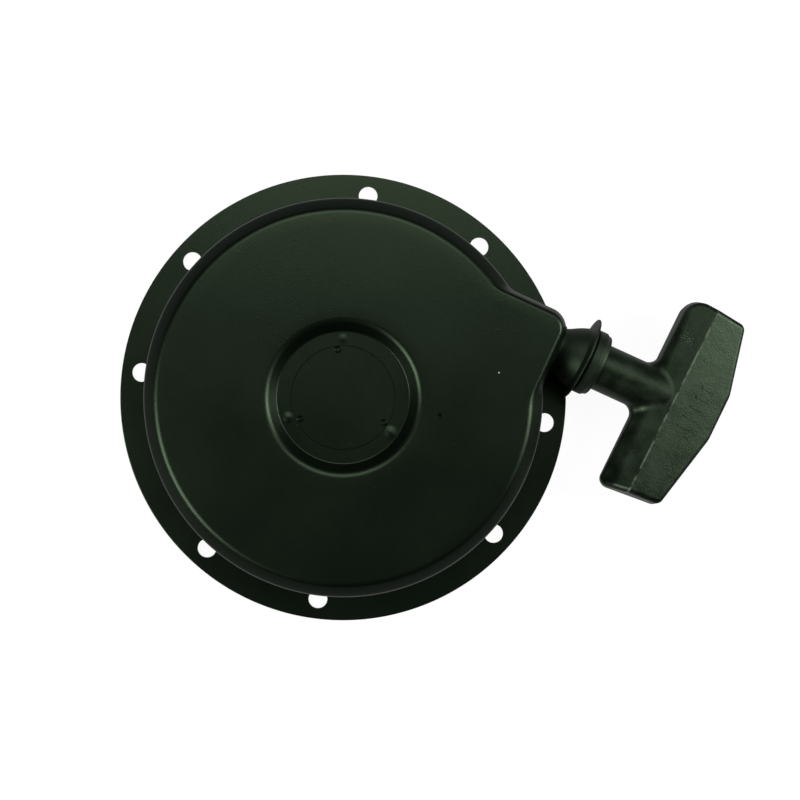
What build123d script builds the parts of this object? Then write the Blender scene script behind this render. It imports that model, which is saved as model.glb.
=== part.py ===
from build123d import *
from math import atan2, cos, degrees, radians, sin, sqrt
import os

# Recoil starter of a small engine, in millimetres.
# Origin: centre of the flange on its engine side.
# +X is the pull direction, +Z is the closed outer side of the pan.

# ---- Housing pan: one pressed steel sheet ----
SHEET = 1.6                # sheet thickness
PAN_RADIUS = 90.0          # outside of the pan wall
FLANGE_WIDTH = 17.0        # from the pan wall to the rim
PAN_HEIGHT = 46.0          # flange face to closed face
PAN_SHOULDER = 8.0         # rounding of the closed edge
FLANGE_ROOT = 1.2          # bend between flange and wall
HOLE_RADIUS = 4.5          # clearance for M8
HOLE_STEP = 7.5            # from the pan wall to the hole centres
HOLE_SPREAD = 17.5         # degrees from each hole to the nearest axis

# ---- Nose: the straight-sided outlet for the rope ----
NOSE_FACE_DROP = 10.9      # pan radius less the X of the face that the rope leaves through
NOSE_SIDE_DROP = 14.5      # pan radius less the Y of the straight side wall
NOSE_CORNER = 10.0         # corner between face and side
NOSE_SHOULDER = 4.0
NOSE_SIDE_BLEND = 12.0     # concave bend from side wall to round wall
NOSE_FACE_BLEND = 20.0     # concave bend from face to round wall

# ---- Central recess and hub plate ----
RECESS_MOUTH = 34.1        # radius at the closed face
RECESS_FLOOR = 29.8        # radius at the recess floor
RECESS_DEPTH = 5.0
RECESS_LIP = 3.0
HUB_RADIUS = 23.3
HUB_GAP = 0.1              # radial gap between hub plate and its hole
HUB_PROUD = 0.3
HUB_FLANGE = 28.0
STAKE_RADIUS = 1.65
STAKE_CIRCLE = 21.6
STAKE_DEPTH = 0.8
STAKE_ANGLES = (120.9, 231.1, 353.0)
BUMP_CIRCLE = 26.4
BUMPS = ((114.6, 2.2, 0.3), (224.6, 2.5, 0.7), (348.1, 3.0, 0.8))  # angle, radius, height

# ---- Rope ----
ROPE_RADIUS = 2.5
ROPE_HEIGHT = 21.0         # Z of the rope's plane
COIL_DROP = 27.4           # pan radius less the centreline of the outermost turn
COIL_GAP = 0.2             # between neighbouring turns
COIL_HALF_TURNS = 6
ROPE_BORE_GAP = 0.3

# ---- Post, bush and reel ----
POST_RADIUS = 9.0
POST_FOOT = 10.0           # Z of the post's free end
BUSH_GAP = 0.05
BUSH_WALL = 2.0
REEL_PLAY = 0.3            # axial play of the reel above its washer
REEL_DROP = 18.0           # pan radius less the reel's
REEL_FLANGE = 2.2
GROOVE_GAP = 0.8           # rope to reel flange, each side
GROOVE_SPARE = 2.9         # from the innermost turn to the groove's floor
RIM_WALL = 2.7
REEL_HUB_WALL = 3.5
WEB_BASE = 22.5
WEB_TOP = 25.5
RIM_CLEARANCE = 1.8        # reel's rim below the hub plate
KNOT_RADIUS = 4.2
KNOT_GAP = 0.5
KNOT_BEND = 14.0           # rope bend from the groove into the knot pocket
KNOT_TURN = 75.0
LIGHTENING_HOLES = 6
LIGHTENING_RADIUS = 4.0

# ---- Recoil spring and its cover ----
SPRING_STRIP = 0.6
SPRING_LIFT = 0.5          # spring above the reel web, and below its cover
SPRING_GAP = 0.4           # spring to reel rim, and to the post
SPRING_HALF_TURNS = 36
HOOK_DEPTH = 2.2
HOOK_GAP = 0.3
COVER_SHEET = 1.0
COVER_BORE_GAP = 0.8
EAR_STEP = 3.4             # from the rim to the screw's centre
EAR_RADIUS = 4.6
EAR_COUNT = 3
SCREW_RADIUS = 1.5
SCREW_HEAD_RADIUS = 2.8
SCREW_HEAD = 1.8

# ---- Pawls and friction plate ----
PAWL_COUNT = 2
PIVOT_CIRCLE = 25.0
PIVOT_ANGLE = 20.0         # angle of the first pivot
PIVOT_RADIUS = 2.5
PIVOT_BOSS = 5.5
PIVOT_GAP = 0.06
PIVOT_DEPTH = 7.0          # pin pressed into the boss
PAWL_THICKNESS = 5.0
PAWL_BASE = 9.5
PAWL_REACH = 17.0
PAWL_REST = -86.8          # degrees from the outward direction
PAWL_SWING = 32.0
PAWL_BOSS = 5.0
GUIDE_ARM = 8.0
GUIDE_PIN = 1.6
GUIDE_GAP = 0.2
PLATE_TURN = 25.0
PLATE_RADIUS = 34.0
PLATE_BASE = 6.4
PLATE_THICKNESS = 1.6
TORSION_WIRE = 0.4
TORSION_COIL = 3.4
TORSION_TURNS = 2
TORSION_CLOSE = 1.8        # wire radii from one turn to the next
TORSION_LEG = 7.0

# ---- Centre screw and washers ----
THREAD_RADIUS = 3.0
SHOULDER_RADIUS = 6.0
SHOULDER_GAP = 0.08
SCREW_FLANGE_RADIUS = 10.0
SCREW_FLANGE = 1.2
SCREW_FLANGE_GAP = 0.15    # screw flange below the friction plate
HEX_ACROSS_FLATS = 12.0
HEX_HEIGHT = 2.8
THREAD_LENGTH = 19.0
THRUST_RADIUS = 13.5
THRUST_THICKNESS = 1.4
WAVE_INNER = 6.6
WAVE_OUTER = 10.5
WAVE_THICKNESS = 0.45

# ---- Rope guide, its ring and the rubber boot ----
GUIDE_WALL = 1.9
GUIDE_FLANGE_RADIUS = 6.4
GUIDE_FLANGE = 1.6
GUIDE_LENGTH = 9.5         # beyond the nose face
GUIDE_MOUTH = 1.4          # rounding of both mouths
GUIDE_HOLE_GAP = 0.1
RING_THICKNESS = 1.0
RING_WIDTH = 2.4
STEM_RADIUS = 11.0         # the handle's stem, inside the boot
BOOT_FLANGE_RADIUS = 10.6
BOOT_FLANGE = 1.9
BOOT_NECK = 9.4
BOOT_BRIM = 20.6
BOOT_DOME_STEP = 3.1       # dome and collar outside the stem's radius
BOOT_COLLAR_STEP = 4.2
BOOT_BRIM_PLACE = 12.3     # from the nose face to the brim's back
BOOT_BRIM_EDGE = 1.7
BOOT_COLLAR_ROUND = 2.5
BOOT_LENGTH = 22.6
BOOT_GAP = 0.4             # around the handle's stem

# ---- Handle ----
STEM_STEP = 12.9           # from the nose face to the stem's end
STEM_LENGTH = 46.0
GRIP_OVER_STEM = 0.8   # at the ridge
GRIP_STEP = 44.3           # from the nose face to the bar's inner side
GRIP_WIDTH = 38.8
GRIP_LOW_END = -50.2       # along Y from the rope
GRIP_HIGH_END = 47.7
RIDGE_STEP_HIGH = 15.9     # from the bar's inner side to the ridge, at the high end
RIDGE_STEP_LOW = 12.6
INNER_FACET_DROP = 7.4     # from the ridge to the bar's inner side
OUTER_FACET_DROP = 4.6
GRIP_DRAFT = 7.0
GRIP_SIDE_HIGH = 4.0       # width of the inner side, from the outline to its crease
GRIP_SIDE_LOW = 6.0
GRIP_SIDE_START = 1.6      # height of the inner side's lower edge above the middle
GRIP_SIDE_ROUND = 8.0      # along the crease
GRIP_EDGE = 2.6
GRIP_CORNER = 4.5
GRIP_HIGH_CORNER = 8.5     # at the high end of the inner side
STEM_FILLET = 5.0
STEM_END_ROUND = 1.0
SOCKET_RADIUS = 5.9        # well for the rope's knot, open at the outer side
SOCKET_DEPTH = 15.0
WASHER_RADIUS = 5.6
GRIP_KNOT = 5.2
WASHER_THICKNESS = 1.0
RIB_COUNT = 5
RIB_LENGTH = 7.0
RIB_WIDTH = 1.4
RIB_PITCH = 5.0
RIB_PLACE = 25.5           # middle rib, from the bar's inner side
RIB_LEAN = 0.155           # shift in X per step along Y
RIB_PROUD = 0.35

# ---- Heights and radii that follow from the sizes above ----
FLANGE_RADIUS = PAN_RADIUS + FLANGE_WIDTH
HOLE_CIRCLE_RADIUS = PAN_RADIUS + HOLE_STEP
NOSE_FACE = PAN_RADIUS - NOSE_FACE_DROP
NOSE_SIDE = PAN_RADIUS - NOSE_SIDE_DROP
COIL_RADIUS = PAN_RADIUS - COIL_DROP
COIL_PITCH = 2 * ROPE_RADIUS + COIL_GAP
REEL_RADIUS = PAN_RADIUS - REEL_DROP
GROOVE_FLOOR = COIL_RADIUS - COIL_PITCH / 2 * (COIL_HALF_TURNS - 1) - ROPE_RADIUS - GROOVE_SPARE
RIM_TOP = PAN_HEIGHT - RECESS_DEPTH - 2 * SHEET - RIM_CLEARANCE
EAR_CIRCLE = GROOVE_FLOOR + EAR_STEP
LIGHTENING_CIRCLE = (REEL_RADIUS + GROOVE_FLOOR) / 2
BOOT_DOME = STEM_RADIUS + BOOT_DOME_STEP
BOOT_COLLAR = STEM_RADIUS + BOOT_COLLAR_STEP
STEM_START = NOSE_FACE + STEM_STEP
STEM_END = STEM_START + STEM_LENGTH
GRIP_INNER = NOSE_FACE + GRIP_STEP
GRIP_OUTER = GRIP_INNER + GRIP_WIDTH
GRIP_HALF_THICKNESS = STEM_RADIUS + GRIP_OVER_STEM
RIDGE_HIGH = GRIP_INNER + RIDGE_STEP_HIGH
RIDGE_LOW = GRIP_INNER + RIDGE_STEP_LOW
CAVITY_TOP = PAN_HEIGHT - SHEET
RECESS_Z = PAN_HEIGHT - RECESS_DEPTH
HUB_SEAT = RECESS_Z - SHEET
POST_TOP = HUB_SEAT - SHEET
WALL_INSIDE = NOSE_FACE - SHEET
GROOVE_BASE = ROPE_HEIGHT - ROPE_RADIUS - GROOVE_GAP
GROOVE_TOP = ROPE_HEIGHT + ROPE_RADIUS + GROOVE_GAP
REEL_BASE = GROOVE_BASE - REEL_FLANGE
HUB_BORE = POST_RADIUS + BUSH_GAP + BUSH_WALL
REEL_FOOT = POST_FOOT + REEL_PLAY
PAWL_TOP = PAWL_BASE + PAWL_THICKNESS
PIVOT_BOSS_BASE = PAWL_TOP + 2 * TORSION_WIRE * TORSION_TURNS + 4 * PIVOT_GAP
PLATE_TOP = PLATE_BASE + PLATE_THICKNESS
THRUST_BASE = POST_FOOT - THRUST_THICKNESS
SPRING_BASE = WEB_TOP + SPRING_LIFT
SPRING_WIDTH = RIM_TOP - SPRING_LIFT - SPRING_BASE
SCREW_LENGTH = (RIM_TOP + COVER_SHEET - GROOVE_TOP - REEL_FLANGE) * 2 / 3
SPRING_OUTER = GROOVE_FLOOR - RIM_WALL - SPRING_GAP
SPRING_INNER = POST_RADIUS + SPRING_GAP + SPRING_STRIP
GUIDE_BORE = ROPE_RADIUS + ROPE_BORE_GAP
GUIDE_RADIUS = GUIDE_BORE + GUIDE_WALL
ROPE_LINE = (0, COIL_RADIUS, ROPE_HEIGHT)
SOCKET_FLOOR = GRIP_OUTER - SOCKET_DEPTH
KNOT_X = SOCKET_FLOOR + WASHER_THICKNESS + GRIP_KNOT


# ---- Shared helpers ----

FROM_BASE = (Align.CENTER, Align.CENTER, Align.MIN)


def tube(outer, inner, base, height):
    """A ring about the Z axis."""
    ring = Cylinder(outer, height) - Cylinder(inner, height)
    return Pos(0, 0, base + height / 2) * ring


def rod(radius, base, height):
    """A solid cylinder about the Z axis."""
    return Pos(0, 0, base + height / 2) * Cylinder(radius, height)


def around(shape, angle):
    return Rot(0, 0, angle) * shape


def polar(radius, angle):
    return (radius * cos(radians(angle)), radius * sin(radians(angle)))


def along_x(start, shape):
    """Turns a shape made about the Z axis to point along +X from start."""
    return Pos(start, 0, 0) * Rot(0, 90, 0) * shape


def turned_on_rope(points, rounded=()):
    """Revolves a closed outline of (x, radius) points about the rope's line.

    rounded holds (point number, radius) pairs for the outline's rounded corners."""
    outline = make_face(Polyline(*points, close=True))
    for number, radius in rounded:
        vertex = outline.vertices().sort_by_distance(Vector(*points[number]))[0]
        outline = fillet(vertex, radius)
    solid = revolve(outline, Axis.X)
    return Pos(*ROPE_LINE) * solid


def corner_arc(start, end, centre):
    """The arc from start to end about centre that bulges the short way round."""
    start, end, centre = Vector(*start), Vector(*end), Vector(*centre)
    radius = (start - centre).length
    middle = centre + ((start - centre) + (end - centre)).normalized() * radius
    return ThreePointArc(start, middle, end)


# ---- Housing pan ----

def pan_outline(round_inset, nose_inset):
    """The pan's plan, with its round wall and its nose moved inwards."""
    radius = PAN_RADIUS - round_inset
    side = NOSE_SIDE - nose_inset
    face = NOSE_FACE - nose_inset
    corner = NOSE_CORNER - nose_inset
    mean_inset = (round_inset + nose_inset) / 2
    side_blend = NOSE_SIDE_BLEND + mean_inset
    face_blend = NOSE_FACE_BLEND + mean_inset
    side_reach = radius + side_blend
    face_reach = radius + face_blend
    side_centre = (sqrt(side_reach ** 2 - (side + side_blend) ** 2), side + side_blend)
    face_centre = (face + face_blend, sqrt(face_reach ** 2 - (face + face_blend) ** 2))
    on_round_high = (side_centre[0] * radius / side_reach, side_centre[1] * radius / side_reach)
    on_round_low = (face_centre[0] * radius / face_reach, face_centre[1] * radius / face_reach)
    side_start = (side_centre[0], side)
    side_end = (face - corner, side)
    face_start = (face, side - corner)
    face_end = (face, face_centre[1])
    far_point = polar(radius, 225)
    return make_face([
        corner_arc(on_round_low, face_end, face_centre),
        Line(face_end, face_start),
        corner_arc(face_start, side_end, (face - corner, side - corner)),
        Line(side_end, side_start),
        corner_arc(side_start, on_round_high, side_centre),
        corner_arc(on_round_high, far_point, (0, 0)),
        corner_arc(far_point, on_round_low, (0, 0)),
    ])


def pan_form(skin):
    """The solid that the pan's sheet wraps, at a depth of skin below its outside."""
    steps = 8
    round_shoulder = PAN_SHOULDER - skin
    nose_shoulder = NOSE_SHOULDER - skin
    top = PAN_HEIGHT - skin
    base = top - round_shoulder
    sections = []
    for step in range(steps + 1):
        turn = radians(90 * step / steps)
        rise = round_shoulder * sin(turn)
        round_inset = round_shoulder * (1 - cos(turn))
        nose_rise = max(rise - (round_shoulder - nose_shoulder), 0)
        nose_inset = nose_shoulder - sqrt(max(nose_shoulder ** 2 - nose_rise ** 2, 0))
        section = pan_outline(skin + round_inset, skin + nose_inset)
        sections.append(Pos(0, 0, base + rise) * section)
    return extrude(pan_outline(skin, skin), base) + loft(sections)


def recess_form(grow, mouth_z, floor_z):
    """A tapered plug about the Z axis: the recess itself, or the sheet's inner side of it."""
    slope = (RECESS_MOUTH - RECESS_FLOOR) / RECESS_DEPTH
    side_shift = grow * (sqrt(1 + slope ** 2) - slope)
    floor_radius = RECESS_FLOOR + side_shift
    mouth_radius = floor_radius + slope * (mouth_z - floor_z)
    plug = Cone(floor_radius, mouth_radius, mouth_z - floor_z)
    return Pos(0, 0, (mouth_z + floor_z) / 2) * plug


def recess_cutter():
    """The recess with a rounded lip at the closed face."""
    slant = atan2(RECESS_MOUTH - RECESS_FLOOR, RECESS_DEPTH)
    lip_run = RECESS_LIP * (1 - sin(slant))
    lip_drop = RECESS_LIP * (1 - sin(slant)) * 0.9
    slope = (RECESS_MOUTH - RECESS_FLOOR) / RECESS_DEPTH
    outline = make_face([
        Line((0, RECESS_Z), (RECESS_FLOOR, RECESS_Z)),
        Line((RECESS_FLOOR, RECESS_Z), (RECESS_MOUTH - slope * lip_drop, PAN_HEIGHT - lip_drop)),
        ThreePointArc(
            (RECESS_MOUTH - slope * lip_drop, PAN_HEIGHT - lip_drop),
            (RECESS_MOUTH + 0.12 * lip_run, PAN_HEIGHT - 0.42 * lip_drop),
            (RECESS_MOUTH + lip_run, PAN_HEIGHT),
        ),
        Line((RECESS_MOUTH + lip_run, PAN_HEIGHT), (0, PAN_HEIGHT)),
        Line((0, PAN_HEIGHT), (0, RECESS_Z)),
    ])
    return revolve(Plane.XZ * outline, Axis.Z)


def flange_holes():
    hole = rod(HOLE_RADIUS, -1, SHEET + 2)
    holes = Part()
    for quarter in range(4):
        for side in (-1, 1):
            angle = 90 * quarter + side * HOLE_SPREAD
            holes += around(Pos(HOLE_CIRCLE_RADIUS, 0, 0) * hole, angle)
    return holes


def floor_bumps():
    """Low domes pressed up from the recess floor around the hub plate."""
    bumps = Part()
    for angle, radius, height in BUMPS:
        ball = (radius ** 2 + height ** 2) / (2 * height)
        centre = RECESS_Z + height - ball
        place = (*polar(BUMP_CIRCLE, angle), centre)
        clip = Pos(0, 0, RECESS_Z + ball - SHEET / 2) * Box(200, 200, 2 * ball)
        bumps += (Pos(*place) * Sphere(ball)) & clip
    return bumps


def housing_pan():
    body = pan_form(0) + rod(FLANGE_RADIUS, 0, SHEET)
    wall_foot = [
        edge for edge in body.edges().filter_by_position(Axis.Z, SHEET, SHEET)
        if edge.center(CenterOf.BOUNDING_BOX).length < FLANGE_RADIUS - 1
        and edge.bounding_box().max.X < FLANGE_RADIUS - 1
        and edge.bounding_box().min.X > 1 - FLANGE_RADIUS
    ]
    body = fillet(wall_foot, FLANGE_ROOT)
    cavity = pan_form(SHEET) - recess_form(SHEET, CAVITY_TOP + 1, HUB_SEAT)
    body = body - cavity - recess_cutter() + floor_bumps()
    body -= rod(HUB_RADIUS + HUB_GAP, HUB_SEAT - 1, SHEET + 2 + RECESS_DEPTH)
    body -= flange_holes()
    rope_hole = Cylinder(GUIDE_RADIUS + GUIDE_HOLE_GAP, 6 * SHEET)
    guide_seat = Cylinder(GUIDE_FLANGE_RADIUS + GUIDE_HOLE_GAP, 3 * SHEET, align=FROM_BASE)
    body -= Pos(*ROPE_LINE) * along_x(WALL_INSIDE - 3 * SHEET, guide_seat)
    return body - Pos(*ROPE_LINE) * along_x(WALL_INSIDE, rope_hole)


def hub_plate():
    """The disc that carries the post: a seat inside the pan and a face that shows outside."""
    plate = rod(HUB_FLANGE, POST_TOP, SHEET)
    face = rod(HUB_RADIUS, HUB_SEAT, SHEET + HUB_PROUD)
    face = chamfer(face.edges().group_by(Axis.Z)[-1], HUB_PROUD / 2)
    plate += face
    top = HUB_SEAT + SHEET + HUB_PROUD
    for angle in STAKE_ANGLES:
        stake = Cone(STAKE_RADIUS / 2, STAKE_RADIUS, STAKE_DEPTH, align=FROM_BASE)
        plate -= Pos(*polar(STAKE_CIRCLE, angle), top - STAKE_DEPTH) * stake
    return plate


# ---- Post and reel ----

def spring_radii():
    """The radius of each half turn of the recoil spring, from the rim to the post."""
    step = (SPRING_OUTER - SPRING_INNER) / SPRING_HALF_TURNS
    return [SPRING_OUTER - step * turn for turn in range(SPRING_HALF_TURNS)]


def half_turn_arcs(radii, inset=0.0):
    """Half circles joined end to end, alternately left and right of the Y axis."""
    arcs = []
    centre_y = 0.0
    for turn, radius in enumerate(radii):
        side = 1 if turn % 2 == 0 else -1
        if turn:
            centre_y += side * (radii[turn - 1] - radius)
        reach = radius - inset
        arcs.append(ThreePointArc(
            (0, centre_y + side * reach),
            (-side * reach, centre_y),
            (0, centre_y - side * reach),
        ))
    return arcs


def recoil_spring():
    """A flat steel strip wound in a spiral, with its inner end hooked into the post."""
    radii = spring_radii()
    outer = half_turn_arcs(radii)
    inner = half_turn_arcs(radii, SPRING_STRIP)
    start_cap = Line(inner[0] @ 0, outer[0] @ 0)
    end_cap = Line(outer[-1] @ 1, inner[-1] @ 1)
    band = extrude(make_face(outer + [end_cap] + inner + [start_cap]), SPRING_WIDTH)
    end = inner[-1] @ 1
    inward = -1 if end.Y > 0 else 1
    reach = abs(end.Y) + SPRING_STRIP - POST_RADIUS + HOOK_DEPTH
    hook = Pos(SPRING_STRIP / 2, end.Y + inward * (reach / 2 - SPRING_STRIP), SPRING_WIDTH / 2) * Box(
        SPRING_STRIP, reach, SPRING_WIDTH)
    return Pos(0, 0, SPRING_BASE) * (band + hook)


def reel_post():
    """The fixed post that the reel turns on, slotted for the spring's hook."""
    post = rod(POST_RADIUS, POST_FOOT, POST_TOP - POST_FOOT)
    post = chamfer(post.edges().group_by(Axis.Z)[0], 0.6)
    post -= rod(THREAD_RADIUS, POST_FOOT - 1, THREAD_LENGTH + 2)
    hook_side = 1 if (half_turn_arcs(spring_radii())[-1] @ 1).Y > 0 else -1
    slot_depth = HOOK_DEPTH + HOOK_GAP
    slot_width = SPRING_STRIP + 2 * HOOK_GAP
    slot_height = POST_TOP - WEB_TOP
    slot_y = hook_side * (POST_RADIUS - slot_depth / 2 + 1)
    slot_centre = (SPRING_STRIP / 2, slot_y, WEB_TOP + slot_height / 2)
    return post - Pos(*slot_centre) * Box(slot_width, slot_depth + 2, slot_height)


def coil_radii():
    return [COIL_RADIUS - COIL_PITCH / 2 * turn for turn in range(COIL_HALF_TURNS)]


def coil_end():
    """Where the innermost half turn ends, and the centre of the bend into the knot pocket."""
    end = half_turn_arcs(coil_radii())[-1] @ 1
    return end, Vector(0, end.Y - KNOT_BEND)


def knot_centre():
    bend_centre = coil_end()[1]
    turn = 90 + KNOT_TURN
    x, y = polar(KNOT_BEND, turn)
    ahead_x, ahead_y = polar(KNOT_RADIUS * 0.8, turn + 90)
    return (x + ahead_x, bend_centre.Y + y + ahead_y, ROPE_HEIGHT - 1)


def knot_bend_path():
    end, bend_centre = coil_end()
    middle = polar(KNOT_BEND, 90 + KNOT_TURN / 2)
    last = polar(KNOT_BEND, 90 + KNOT_TURN)
    return ThreePointArc(
        (0, end.Y), (middle[0], bend_centre.Y + middle[1]), (last[0], bend_centre.Y + last[1]))


def rope_tube(arcs, radius):
    """A round tube along planar arcs, lifted to the rope's height."""
    path = Wire(arcs)
    start = path @ 0
    section = Plane(origin=start, z_dir=path % 0) * Circle(radius)
    return Pos(0, 0, ROPE_HEIGHT) * sweep(section, path=path)


def pivot_places():
    step = 360 / PAWL_COUNT
    return [PIVOT_ANGLE + step * number for number in range(PAWL_COUNT)]


def ear_places():
    step = 360 / EAR_COUNT
    return [90 + step * (number + 0.5) for number in range(EAR_COUNT)]


def reel():
    """The rope pulley: rope groove outside, spring case on top, pawl bosses below."""
    rim_inside = GROOVE_FLOOR - RIM_WALL
    body = tube(REEL_RADIUS, rim_inside, REEL_BASE, REEL_FLANGE)
    body += tube(REEL_RADIUS, rim_inside, GROOVE_TOP, REEL_FLANGE)
    body += tube(GROOVE_FLOOR, rim_inside, REEL_BASE, RIM_TOP - REEL_BASE)
    body += tube(GROOVE_FLOOR, HUB_BORE, WEB_BASE, WEB_TOP - WEB_BASE)
    body += tube(HUB_BORE + REEL_HUB_WALL, HUB_BORE, REEL_FOOT, WEB_TOP - REEL_FOOT)
    boss = rod(PIVOT_BOSS, PIVOT_BOSS_BASE, WEB_TOP - PIVOT_BOSS_BASE)
    pivot_hole = rod(PIVOT_RADIUS, PIVOT_BOSS_BASE - 1, PIVOT_DEPTH + 1)
    for angle in pivot_places():
        body += around(Pos(PIVOT_CIRCLE, 0, 0) * boss, angle)
        body -= around(Pos(PIVOT_CIRCLE, 0, 0) * pivot_hole, angle)
    ear_base = GROOVE_TOP + REEL_FLANGE
    screw_hole = rod(SCREW_RADIUS, RIM_TOP - SCREW_LENGTH, SCREW_LENGTH + 1)
    for angle in ear_places():
        body += around(ear_shape(ear_base, RIM_TOP - ear_base), angle)
        body -= around(Pos(EAR_CIRCLE, 0, 0) * screw_hole, angle)
    knot_x, knot_y, knot_z = knot_centre()
    pocket = KNOT_RADIUS + KNOT_GAP
    body += Pos(knot_x, knot_y, 0) * rod(pocket + 2, REEL_BASE, WEB_TOP - REEL_BASE)
    body -= Pos(knot_x, knot_y, 0) * rod(pocket, REEL_BASE - 1, knot_z + pocket - REEL_BASE + 1)
    body -= rope_tube([knot_bend_path()], ROPE_RADIUS + ROPE_BORE_GAP)
    lightening = Pos(LIGHTENING_CIRCLE, 0, 0) * rod(LIGHTENING_RADIUS, REEL_BASE - 1, REEL_FLANGE + 2)
    for number in range(LIGHTENING_HOLES):
        body -= around(lightening, (number + 0.5) * 360 / LIGHTENING_HOLES)
    return body


def ear_shape(base, height):
    """One screw ear on the +X side, reaching back to the reel's rim."""
    reach = EAR_CIRCLE - GROOVE_FLOOR + 0.5
    bridge = Pos(EAR_CIRCLE - reach / 2, 0, base + height / 2) * Box(reach, 2 * EAR_RADIUS, height)
    return Pos(EAR_CIRCLE, 0, 0) * rod(EAR_RADIUS, base, height) + bridge


def reel_bush():
    bush = tube(HUB_BORE, POST_RADIUS + BUSH_GAP, REEL_FOOT, WEB_TOP - REEL_FOOT)
    return chamfer(bush.edges().group_by(Axis.Z)[0], 0.3)


def spring_cover():
    """The sheet lid of the spring case, with an ear over each ear of the reel."""
    lid = tube(GROOVE_FLOOR, POST_RADIUS + COVER_BORE_GAP, RIM_TOP, COVER_SHEET)
    screw_hole = rod(SCREW_RADIUS, RIM_TOP - 1, COVER_SHEET + 2)
    for angle in ear_places():
        lid += around(ear_shape(RIM_TOP, COVER_SHEET), angle)
        lid -= around(Pos(EAR_CIRCLE, 0, 0) * screw_hole, angle)
    return lid


def cover_screws():
    shank = rod(SCREW_RADIUS, RIM_TOP + COVER_SHEET - SCREW_LENGTH, SCREW_LENGTH)
    head = rod(SCREW_HEAD_RADIUS, RIM_TOP + COVER_SHEET, SCREW_HEAD)
    head = fillet(head.edges().group_by(Axis.Z)[-1], SCREW_HEAD * 0.5)
    slot_z = RIM_TOP + COVER_SHEET + SCREW_HEAD
    for angle in (0, 90):
        head -= Pos(0, 0, slot_z) * around(Box(0.7, SCREW_HEAD_RADIUS * 1.2, SCREW_HEAD), angle)
    screws = Part()
    for angle in ear_places():
        screws += around(Pos(EAR_CIRCLE, 0, 0) * (shank + head), angle)
    return screws


# ---- Rope ----

def rope_coil():
    """The rope wound on the reel, and its bend into the knot pocket."""
    return rope_tube(half_turn_arcs(coil_radii()) + [knot_bend_path()], ROPE_RADIUS)


def rope_knot_reel():
    """The stopper knot in the reel's pocket, cut where the rope runs into it."""
    knot = Pos(*knot_centre()) * Sphere(KNOT_RADIUS)
    return knot - rope_tube([knot_bend_path()], ROPE_RADIUS)


def rope_piece(start, end):
    return Pos(*ROPE_LINE) * along_x(start, Cylinder(ROPE_RADIUS, end - start, align=FROM_BASE))


def rope_run():
    """The straight rope from the reel through the guide and the boot."""
    return rope_piece(0, STEM_START)


def rope_tail():
    """The rope inside the handle, up to its knot."""
    return rope_piece(STEM_START, SOCKET_FLOOR + WASHER_THICKNESS)


def rope_knot_handle():
    ball = Pos(KNOT_X, COIL_RADIUS, ROPE_HEIGHT) * Sphere(GRIP_KNOT)
    return ball - rope_piece(STEM_START, SOCKET_FLOOR + WASHER_THICKNESS)


# ---- Pawls ----

def pawl_blank():
    """A pawl in its own frame: pivot at the origin, reach along +X, outside towards +Y."""
    plan = make_face(Polyline(
        (0, PAWL_BOSS),
        (PAWL_REACH * 0.55, PAWL_BOSS * 0.86),
        (PAWL_REACH, PAWL_BOSS * 0.5),
        (PAWL_REACH, -PAWL_BOSS * 0.44),
        (PAWL_REACH * 0.6, -PAWL_BOSS * 0.72),
        (0, -PAWL_BOSS),
        close=True,
    ))
    tip = plan.vertices().sort_by(Axis.X)[-2:]
    plan = fillet(tip, 0.6)
    body = extrude(plan, PAWL_THICKNESS) + rod(PAWL_BOSS, 0, PAWL_THICKNESS)
    body -= rod(PIVOT_RADIUS + PIVOT_GAP, -1, PAWL_THICKNESS + 2)
    pin_length = PAWL_BASE - PLATE_BASE
    return body + Pos(GUIDE_ARM, 0, 0) * rod(GUIDE_PIN, -pin_length, pin_length + 1)


def pawl(pivot_angle):
    placed = Pos(PIVOT_CIRCLE, 0, PAWL_BASE) * Rot(0, 0, PAWL_REST) * pawl_blank()
    return around(placed, pivot_angle)


def pawl_pins():
    """The pivot pins, pressed into the reel's bosses."""
    foot = PLATE_TOP + 2 * SHOULDER_GAP
    top = PIVOT_BOSS_BASE + PIVOT_DEPTH
    pin = rod(PIVOT_RADIUS, foot, top - foot)
    pin = chamfer(pin.edges().group_by(Axis.Z)[0], 0.3)
    pins = Part()
    for angle in pivot_places():
        pins += around(Pos(PIVOT_CIRCLE, 0, 0) * pin, angle)
    return pins


def pawl_spring(pivot_angle):
    """A torsion spring about the pivot pin, above the pawl: coils and two legs."""
    spring = Part()
    for turn in range(TORSION_TURNS):
        height = PAWL_TOP + PIVOT_GAP + TORSION_WIRE * (1 + TORSION_CLOSE * turn)
        spring += Pos(0, 0, height) * Torus(TORSION_COIL, TORSION_WIRE)
        leg = along_x(0, Cylinder(TORSION_WIRE, TORSION_LEG, align=FROM_BASE))
        leg = Pos(0, -TORSION_COIL, height) * leg
        spring += around(leg, PAWL_REST - 90 * turn)
    return around(Pos(PIVOT_CIRCLE, 0, 0) * spring, pivot_angle)


# ---- Friction plate ----

def guide_path(share):
    """Where a pawl's guide pin stands on the friction plate after a share of the plate's turn."""
    swing = radians(PAWL_REST + PAWL_SWING * share)
    x = PIVOT_CIRCLE + GUIDE_ARM * cos(swing)
    y = GUIDE_ARM * sin(swing)
    turn = radians(-PLATE_TURN * share)
    return (x * cos(turn) - y * sin(turn), x * sin(turn) + y * cos(turn))


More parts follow.
